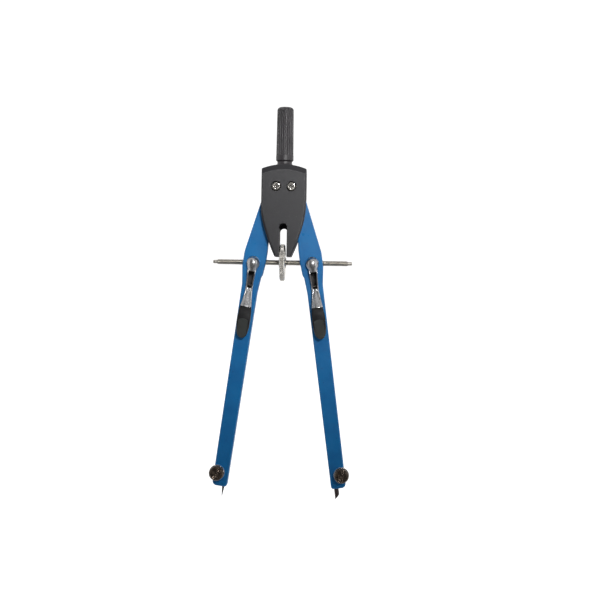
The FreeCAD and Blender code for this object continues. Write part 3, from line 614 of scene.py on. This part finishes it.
def nut_cavity():
    """The round cavity under the dome, which the swivel nut turns in."""
    nut_down = LEGS["right"].find(middle("swivel_nut_right"))[2]
    edge = circle(CAVITY_RADIUS, CAVITY_SEGMENTS)
    rings = [[(across, back, up - nut_down) for across, up in edge] for back in CAVITY_DEPTH]
    return loft("cavity", rings, LEVER_METAL)


def cross_bar(name, radius, span):
    """A round bar along the cross pin's axis, between two distances from the lever's middle."""
    edge = circle(radius, BAR_SEGMENTS)
    rings = [[(across, PIN_BACK + back, up - PIN_DOWN) for back, up in edge] for across in span]
    return loft(name, rings, LEVER_METAL)


def dome_outline():
    """The dome's sections down the leg, in the same form as the lists above."""
    outline = []
    for i in range(DOME_STEPS + 1):
        turn = pi / 2 * i / DOME_STEPS
        rise = DOME_RISE * max(DOME_TIP_SHARE, 1 - cos(turn) ** DOME_POWER) ** (1 / DOME_POWER)
        half_width = DOME_RADIUS * max(DOME_TIP_SHARE, sin(turn))
        outline.append((DOME_DOWN - DOME_RADIUS * cos(turn), half_width, LEVER_BACK - rise))
    return outline


def rail_width(down):
    """Half the width across the rails, some way down the leg."""
    return along([(d, width) for d, width, _ in RAIL], down)


def rail_parts(sign):
    """One rail on its side of the lever, with the eye and arm that hold the cross pin."""
    rings = []
    for down, width, front in RAIL:
        rear = max(along(UNDERSIDE, down), front + RAIL_LEAST_DEPTH)
        rings.append(box_section(sign * width, sign * (width - RAIL_THICKNESS), front, rear, down))
    half = rail_width(PIN_DOWN)
    span = (sign * half, sign * (half - RAIL_THICKNESS))
    rail = loft("rail", rings, LEVER_METAL)
    eye = cross_bar("eye", EYE_RADIUS, span)
    arm = [box_section(*span, LEVER_BACK - ARM_OVERLAP, PIN_BACK, down)
           for down in (PIN_DOWN - EYE_RADIUS, PIN_DOWN + EYE_RADIUS)]
    return [rail, eye, loft("arm", arm, LEVER_METAL)]


def web_part():
    """The sloping web behind the tongue, between the rails."""
    rings = []
    for down, _, front in TONGUE:
        inner = rail_width(down) - RAIL_THICKNESS / 2
        rear = along(UNDERSIDE, down)
        face = min(front + TONGUE_RECESS, rear - WEB_THICKNESS)
        rings.append(box_section(-inner, inner, face, rear, down))
    return loft("web", rings, LEVER_METAL)


def lever_shape():
    """The pressed lever: dome, neck, two flaring rails, and the tongue that rises to the pad."""
    crown = [rounded_section(half_width, front, LEVER_BACK, down, *DOME_SECTION)
             for down, half_width, front in dome_outline() + NECK]
    tongue = [rounded_section(half_width, front, front + TONGUE_THICKNESS, down, *TONGUE_SECTION)
              for down, half_width, front in TONGUE]
    parts = [loft("lever", crown, LEVER_METAL), loft("tongue", tongue, LEVER_METAL), web_part()]
    lever = join(*parts, *rail_parts(-1), *rail_parts(1))
    modify(lever, "REMESH", mode="VOXEL", voxel_size=LEVER_GRAIN)
    apply_modifiers(lever)
    cut_away(lever, nut_cavity())
    reach = 2 * rail_width(PIN_DOWN)
    cut_away(lever, cross_bar("pin", PIN_RADIUS, (-reach, reach)))
    modify(lever, "REMESH", mode="VOXEL", voxel_size=LEVER_GRAIN)
    modify(lever, "SMOOTH", factor=LEVER_SMOOTHING, iterations=LEVER_SMOOTH_STEPS)
    modify(lever, "DECIMATE", decimate_type="COLLAPSE", ratio=LEVER_FACES_KEPT)
    apply_modifiers(lever)
    return sharp_by_angle(lever, LEVER_SHARP)


# ---------------------------------------- finger pads, in millimetres along the leg
PAD_TOP = 53.1
PAD_RIDGE = 58.3
PAD_FOOT = 66.8
PAD_TOP_FRONT = -7.45
PAD_RIDGE_FRONT = -8.65
PAD_FOOT_FRONT = -6.5
PAD_REAR = -5.35
PAD_SLOTS = ("black_pad", "grey_facet", "black_edge")
PAD_GRID = (54, 66)
PAD_HOLLOW = 0.42
PAD_ARCH = 1.5
PAD_FOOT_ROUND = 3.1
PAD_FOOT_POWER = 2.4
PAD_WIDTH = [(PAD_TOP, 2.32), (55.5, 2.66), (58.5, 2.86), (62.0, 2.75), (64.0, 2.45), (PAD_FOOT, 2.2)]
PAD_BORDER = 0.74
PAD_BORDER_DROP = 0.62
PAD_RIM_DROP = 0.3
PAD_FADE = 6
PAD_SKIN = 0.05
PAD_EDGE_ROUND = 0.13
PAD_EDGE_ANGLE = 34
PAD_SHARP = 24


def pad_shape():
    """The moulded finger pad: a hollow upper face, an arched ridge and a shield-shaped lower facet."""
    ridge_share = (PAD_RIDGE - PAD_TOP) / (PAD_FOOT - PAD_TOP)

    def down_at(u, v):
        arch = PAD_RIDGE + PAD_ARCH * u * u
        end = PAD_FOOT - PAD_FOOT_ROUND * (1 - sqrt(max(0.0, 1 - abs(u) ** PAD_FOOT_POWER)))
        if v <= ridge_share:
            return PAD_TOP + (arch - PAD_TOP) * v / ridge_share
        return arch + (end - arch) * (v - ridge_share) / (1 - ridge_share)

    def across(u, v):
        return u * along(PAD_WIDTH, down_at(u, v))

    def front(i, v):
        u = 2 * i - 1
        border = max(0.0, (abs(u) - PAD_BORDER) / (1 - PAD_BORDER))
        rim = PAD_RIM_DROP * border * border
        if v <= ridge_share:
            k = v / ridge_share
            hollow = 4 * PAD_HOLLOW * k * (1 - k)
            depth = PAD_TOP_FRONT + (PAD_RIDGE_FRONT - PAD_TOP_FRONT) * k + hollow + rim
        else:
            k = (v - ridge_share) / (1 - ridge_share)
            drop = PAD_BORDER_DROP * border * min(1.0, PAD_FADE * k) + rim * max(0.0, 1 - PAD_FADE * k)
            depth = PAD_RIDGE_FRONT + (PAD_FOOT_FRONT - PAD_RIDGE_FRONT) * k + drop
        return across(u, v), depth, -down_at(u, v)

    def back(i, v):
        return across(2 * i - 1, v), PAD_REAR, -down_at(2 * i - 1, v)

    pad = grid_solid("pad", front, back, *PAD_GRID, PAD_SLOTS[0])
    for slot in PAD_SLOTS[1:]:
        pad.data.materials.append(MATERIALS[slot])
    # The lower facet is drawn lighter grey than the hollow upper face: partly the facet's own grey-green, and
    # partly painted light, with the facet lit and the upper face shaded.
    for polygon in pad.data.polygons:
        across_share = polygon.center.x / along(PAD_WIDTH, -polygon.center.z)
        below = -polygon.center.z > PAD_RIDGE + PAD_ARCH * across_share ** 2
        if below and abs(across_share) < PAD_BORDER and polygon.center.y < PAD_REAR - PAD_SKIN:
            polygon.material_index = PAD_SLOTS.index("grey_facet")
    # The bevels get the lighter black_edge: a painted highlight along the pad's ridge and edges.
    modify(pad, "BEVEL", width=PAD_EDGE_ROUND, segments=EDGE_SEGMENTS, limit_method="ANGLE",
           angle_limit=radians(PAD_EDGE_ANGLE), material=PAD_SLOTS.index("black_edge"))
    apply_modifiers(pad)
    return sharp_by_angle(pad, PAD_SHARP)


def make_levers():
    """Both levers and their pads."""
    lever, pad = lever_shape(), pad_shape()
    for side in SIDES:
        placed_copy(lever, f"lever_pressing_{side}", side, f"release_lever_{side}")
        placed_copy(pad, f"finger_pad_{side}", side, f"lever_pad_{side}")
    for shape in (lever, pad):
        bpy.data.objects.remove(shape)


# ---------------------------------------- lever springs, in millimetres along the leg
SPRING_DOWN = 50.6
SPRING_SEAT = 0.6
SPRING_TOP = -4.62
COIL_RADIUS = 0.95
WIRE_RADIUS = 0.16
SPRING_TURNS = 7
TURN_STEPS = 24
WIRE_SEGMENTS = 10


def make_springs():
    """The coil springs behind the tongues, drawn at rest; in the real compass they shorten as the levers are
    pressed.
    """
    steps = SPRING_TURNS * TURN_STEPS
    seat = SPRING_SEAT - WIRE_RADIUS
    top = SPRING_TOP + WIRE_RADIUS
    for side, leg in LEGS.items():
        rings = []
        for i in range(steps + 1):
            turn = 2 * pi * i / TURN_STEPS
            centre = seat + (top - seat) * i / steps
            ring = []
            for outward, back in circle(WIRE_RADIUS, WIRE_SEGMENTS):
                reach = COIL_RADIUS + outward
                ring.append(leg.point(LEVER_OUT + reach * cos(turn), centre + back,
                                      SPRING_DOWN + reach * sin(turn)))
            rings.append(ring)
        spring = loft(f"coil_spring_{side}", rings, "black_steel_and_shade")
        stand_in(spring, f"lever_spring_{side}")
        tuple(leg.point(LEVER_OUT, SPRING_SEAT, SPRING_DOWN))
        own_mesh(spring)


# ---------------------------------------- spindle, in millimetres
THREAD_LEAD = 1.0
THREAD_STARTS = 2
THREAD_DEPTH = 0.3
THREAD_STEP = 0.0625
THREAD_SEGMENTS = 24
THREAD_START = 0.8
THREAD_FADE = 0.6
RUNOUT_LENGTH = 0.5
RUNOUT_DEPTH = 0.2
TIP_RADIUS = 0.8
TIP_LENGTH = 1.8
TIP_CHAMFER = 0.25
SPINDLE_SHARP = 40


def thread_cut(x, angle, end):
    """The cut's depth at a place on the spindle, whose threads end at a distance from its middle."""
    hand = 1 if x > 0 else -1
    fade = min(1.0, max(0.0, abs(x) - THREAD_START) / THREAD_FADE)
    turn = (x / THREAD_LEAD - hand * angle / (2 * pi)) * THREAD_STARTS
    runout = RUNOUT_DEPTH * max(0.0, 1 - (end - abs(x)) / RUNOUT_LENGTH)
    return THREAD_DEPTH * fade * (1 - abs(2 * (turn % 1) - 1)) + runout


def make_spindle():
    """The spindle: a two-start thread each side, left-hand on the left, and thin tips."""
    low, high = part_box("spindle")
    radius = (high.z - low.z) / 2 / MM
    half = (high.x - low.x) / 2 / MM
    end = half - TIP_LENGTH
    angles = [2 * pi * j / THREAD_SEGMENTS for j in range(THREAD_SEGMENTS)]
    tip = [(half, TIP_RADIUS - TIP_CHAMFER), (half - TIP_CHAMFER, TIP_RADIUS), (end, TIP_RADIUS)]
    rows = [(-x, [tip_radius] * THREAD_SEGMENTS) for x, tip_radius in tip]
    steps = round(2 * end / THREAD_STEP)
    for i in range(steps + 1):
        x = -end + i * THREAD_STEP
        rows.append((x, [radius - thread_cut(x, angle, end) for angle in angles]))
    rows += [(x, [tip_radius] * THREAD_SEGMENTS) for x, tip_radius in reversed(tip)]
    centre = Vector(((low.x + high.x) / 2, SPINDLE.y, SPINDLE.z))
    rings = []
    for x, radii in rows:
        around = [Vector((x, r * sin(angle), r * cos(angle))) for r, angle in zip(radii, angles)]
        rings.append([centre + offset * MM for offset in around])
    spindle = loft("threaded_spindle", rings, "steel")
    sharp_by_angle(spindle, SPINDLE_SHARP)
    stand_in(spindle, "spindle")


# ---------------------------------------- wheel and clamp screws, in millimetres
KNURL_STEPS = 6
KNURL_POWER = 1.6
KNURL_RIM = 0.1
RIM_EASE = 0.05
WHEEL_KNURLS = 56
WHEEL_CUT = 0.3
WHEEL_CENTRE = 0.2
WHEEL_HUB = 2.5
WHEEL_HUB_DROP = 0.02
WHEEL_FLANGE = 6.5
WHEEL_RECESS = 0.25
WHEEL_CORNER = (0.42, 0.36)
WHEEL_RIM_DROP = 0.4
WHEEL_RIM_ROWS = 4
WHEEL_SHARP = 22
CLAMP_KNURLS = 36
CLAMP_CUT = 0.24
CLAMP_DIMPLE = [(0.02, -0.34), (0.3, -0.2), (0.46, -0.02)]
CLAMP_FACE = 0.5
CLAMP_FACE_EDGE = 0.45
CLAMP_FACE_SLOPE = 0.2
CLAMP_FACE_RINGS = 12
CLAMP_RING_DEPTH = 0.02
CLAMP_FACE_STEPS = 72
# The rim, from the front: how far inside the full radius, then how far along.
CLAMP_RIM = [(0.05, -0.62), (0.0, -0.72), (0.0, -1.6), (0.0, -2.55), (0.05, -2.62), (0.35, -3.0)]
CLAMP_SHANK = 1.0
CLAMP_SHANK_TIP = (0.8, 0.15)
CLAMP_SHARP = 26


def knurled(profile, rim, count, depth):
    """A cut depth for turned(): narrow grooves along the rings that are at the rim."""
    def cut(angle, i):
        if profile[i][0] < rim:
            return 0.0
        return depth * ((1 + cos(count * angle)) / 2) ** KNURL_POWER
    return cut


def make_wheel():
    """The knurled wheel, faced on the lathe with a shallow ring recess round its hub."""
    low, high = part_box("spindle_wheel")
    radius = (high.z - low.z) / 2 / MM
    half = (high.x - low.x) / 2 / MM
    side = [(WHEEL_CENTRE, half - WHEEL_HUB_DROP), (WHEEL_HUB, half - WHEEL_HUB_DROP),
            (WHEEL_HUB + WHEEL_RECESS, half - WHEEL_RECESS), (WHEEL_FLANGE, half - WHEEL_RECESS),
            (WHEEL_FLANGE + WHEEL_RECESS, half), (radius - WHEEL_CORNER[0], half),
            (radius - RIM_EASE, half - WHEEL_CORNER[1])]
    shares = [1 - 2 * i / WHEEL_RIM_ROWS for i in range(WHEEL_RIM_ROWS + 1)]
    rim = [(radius, (half - WHEEL_RIM_DROP) * share) for share in shares]
    profile = side + rim + [(r, -height) for r, height in reversed(side)]
    wheel = turned("setting_wheel", profile, WHEEL_KNURLS * KNURL_STEPS, "turned_nickel",
                   knurled(profile, radius - KNURL_RIM, WHEEL_KNURLS, WHEEL_CUT))
    sharp_by_angle(wheel, WHEEL_SHARP)
    wheel.location = middle("spindle_wheel")
    wheel.rotation_euler = (0, pi / 2, 0)
    bpy.context.view_layer.update()
    stand_in(wheel, "spindle_wheel")


def clamp_profile(radius, length):
    """A thumbscrew's profile: a centre dimple, a grooved conical face, a rim and a shank."""
    profile = list(CLAMP_DIMPLE)
    width = radius - CLAMP_FACE_EDGE - CLAMP_FACE
    for i in range(CLAMP_FACE_STEPS + 1):
        share = i / CLAMP_FACE_STEPS
        groove = CLAMP_RING_DEPTH * (cos(2 * pi * CLAMP_FACE_RINGS * share) - 1)
        profile.append((CLAMP_FACE + width * share, groove - CLAMP_FACE_SLOPE * share))
    profile += [(radius - inside, height) for inside, height in CLAMP_RIM]
    tip_radius, tip = CLAMP_SHANK_TIP
    return profile + [(CLAMP_SHANK, CLAMP_RIM[-1][1]), (CLAMP_SHANK, tip - length), (tip_radius, -length)]


def make_clamp_screws():
    """The knurled thumbscrews, which hold the needle and the lead."""
    for side in SIDES:
        node = f"clamp_screw_{side}"
        low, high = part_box(node)
        radius = (high.x - low.x) / 2 / MM
        profile = clamp_profile(radius, (high.y - low.y) / MM)
        screw = turned(f"thumbscrew_{side}", profile, CLAMP_KNURLS * KNURL_STEPS, "dark_nickel",
                       knurled(profile, radius - KNURL_RIM, CLAMP_KNURLS, CLAMP_CUT))
        sharp_by_angle(screw, CLAMP_SHARP)
        screw.location = (low.x + high.x) / 2, low.y, (low.z + high.z) / 2
        screw.rotation_euler = (pi / 2, 0, 0)
        bpy.context.view_layer.update()
        stand_in(screw, node)


# ---------------------------------------- camera, in millimetres and degrees
CAMERA_DISTANCE = 500.0
CAMERA_AIM_HEIGHT = 85.0
CAMERA_SHIFT = (-7.73, 1.54)
CAMERA_YAW = -1.77
CAMERA_PITCH = 0.83
CAMERA_ROLL = 1.01
CAMERA_CLIP = (10.0, 20000.0)
FIELD_WIDTH = 261.7
SENSOR = 36.0


def make_camera():
    """The camera straight in front, a touch turned and rolled, as far off as a product shot."""
    data = bpy.data.cameras.new("camera")
    data.sensor_width = SENSOR
    data.lens = SENSOR * CAMERA_DISTANCE / FIELD_WIDTH
    data.clip_start, data.clip_end = (distance * MM for distance in CAMERA_CLIP)
    camera = bpy.data.objects.new("camera", data)
    bpy.context.scene.collection.objects.link(camera)
    bpy.context.scene.camera = camera
    # The rows of this matrix are the picture's right, down and forward directions.
    level = Matrix(((1, 0, 0), (0, 0, -1), (0, 1, 0)))
    turn = Matrix.Rotation(radians(CAMERA_PITCH), 3, "X") @ Matrix.Rotation(radians(CAMERA_YAW), 3, "Z")
    look = (Matrix.Rotation(radians(CAMERA_ROLL), 3, "Z") @ level @ turn).transposed()
    place = Vector((0, 0, CAMERA_AIM_HEIGHT)) - look @ Vector((*CAMERA_SHIFT, CAMERA_DISTANCE))
    facing = look @ Matrix.Diagonal((1, -1, -1))
    camera.matrix_world = Matrix.Translation(place * MM) @ facing.to_4x4()


# ---------------------------------------- stage, in millimetres
FLOOR_RADIUS = 1500.0
FLOOR_RINGS = (0.1, 0.4, 0.7)
FLOOR_DROP = 0.15
WALL_HEIGHT = 1600.0
CORNER_RADIUS = 500.0
CORNER_STEPS = 12
ROOM_SEGMENTS = 96
ROOM_TONES = ((0.28, 0.28, 0.285), (0.32, 0.32, 0.315))
ROOM_ROUGHNESS = 0.9
ROOM_GLOW = 1.0


def room_material():
    """Pale paint that glows evenly, as a lit studio sweep does."""
    material, tree, shader = new_material("pale_room")
    shader.inputs["Roughness"].default_value = ROOM_ROUGHNESS
    shader.inputs["Emission Color"].default_value = (1, 1, 1, 1)
    shader.inputs["Emission Strength"].default_value = ROOM_GLOW
    tone = patches(tree, scale=4, span=(0.3, 0.7), detail=2)
    tree.links.new(blend(tree, tone, *ROOM_TONES), shader.inputs["Base Color"])
    return material


def make_room():
    """A round white floor that curves up into a wall all round."""
    profile = [(FLOOR_RADIUS * share, 0.0) for share in FLOOR_RINGS]
    for i in range(CORNER_STEPS + 1):
        angle = pi / 2 * i / CORNER_STEPS
        profile.append((FLOOR_RADIUS + CORNER_RADIUS * sin(angle), CORNER_RADIUS * (1 - cos(angle))))
    profile.append((FLOOR_RADIUS + CORNER_RADIUS, WALL_HEIGHT))
    vertices = [(0, 0, -FLOOR_DROP * MM)]
    for radius, height in profile:
        vertices += [(x, y, (height - FLOOR_DROP) * MM) for x, y in circle(radius * MM, ROOM_SEGMENTS)]
    faces = [(0, 1 + j, 1 + (j + 1) % ROOM_SEGMENTS) for j in range(ROOM_SEGMENTS)]
    for i in range(len(profile) - 1):
        for j in range(ROOM_SEGMENTS):
            a = 1 + i * ROOM_SEGMENTS + j
            b = 1 + i * ROOM_SEGMENTS + (j + 1) % ROOM_SEGMENTS
            faces.append((a, a + ROOM_SEGMENTS, b + ROOM_SEGMENTS, b))
    mesh = bpy.data.meshes.new("room")
    mesh.from_pydata(vertices, [], faces)
    for polygon in mesh.polygons:
        polygon.use_smooth = True
    mesh.materials.append(room_material())
    room = bpy.data.objects.new("room", mesh)
    bpy.context.scene.collection.objects.link(room)
    # The sky and the lamps light the object; the sweep is only its backdrop.
    room.visible_diffuse = False
    room.visible_glossy = False


# ---------------------------------------- light, in metres, watts and degrees
# The sky's strength rises from front to back: where along Y it starts and ends, and the strengths there.
SKY_FADE = (-0.62, 0.15)
SKY_GLOW = (0.13, 0.88)
KEY_PLACE = (0.20, -0.75, 0.36)
KEY_TARGET = (0, 0, 0.150)
KEY_POWER = 36.0
KEY_CONE = 17
KEY_SOFTNESS = 0.11
BOX_TARGET = (0, 0, 0.1)
BOXES = {
    "left_box": {"place": (-0.7, -0.25, 0.2), "size": (0.4, 0.6), "power": 0.4},
    "right_box": {"place": (0.7, -0.3, 0.25), "size": (0.4, 0.6), "power": 0.8},
    "top_box": {"place": (0.05, -0.42, 0.72), "size": (0.5, 0.35), "power": 0.4},
}


def make_sky():
    """A white sky, dim in front and bright behind."""
    world = bpy.data.worlds.new("sky")
    bpy.context.scene.world = world
    world.use_nodes = True
    tree = world.node_tree
    background = tree.nodes["Background"]
    background.inputs["Color"].default_value = (1, 1, 1, 1)
    split = add_node(tree, "ShaderNodeSeparateXYZ")
    tree.links.new(add_node(tree, "ShaderNodeTexCoord").outputs["Generated"], split.inputs[0])
    tree.links.new(remap(tree, split.outputs["Y"], SKY_FADE, SKY_GLOW), background.inputs["Strength"])


def aimed_light(name, kind, place, target, power):
    """A lamp that faces a point."""
    data = bpy.data.lights.new(name, kind)
    data.energy = power
    light = bpy.data.objects.new(name, data)
    light.location = place
    light.rotation_euler = (Vector(target) - Vector(place)).to_track_quat("-Z", "Y").to_euler()
    bpy.context.scene.collection.objects.link(light)
    return data


def make_lamps():
    """A soft spot on the head from the upper right, and weak boxes at the sides and above."""
    key = aimed_light("key", "SPOT", KEY_PLACE, KEY_TARGET, KEY_POWER)
    key.spot_size = radians(KEY_CONE)
    key.spot_blend = 1.0
    key.shadow_soft_size = KEY_SOFTNESS
    for name, lamp in BOXES.items():
        box = aimed_light(name, "AREA", lamp["place"], BOX_TARGET, lamp["power"])
        box.shape = "RECTANGLE"
        box.size, box.size_y = lamp["size"]


dress_cad_nodes()
darken_channels()
darken_recesses()
make_levers()
make_springs()
make_spindle()
make_wheel()
make_clamp_screws()
make_room()
make_sky()
make_lamps()
make_camera()
bpy.context.scene.view_settings.view_transform = "Standard"
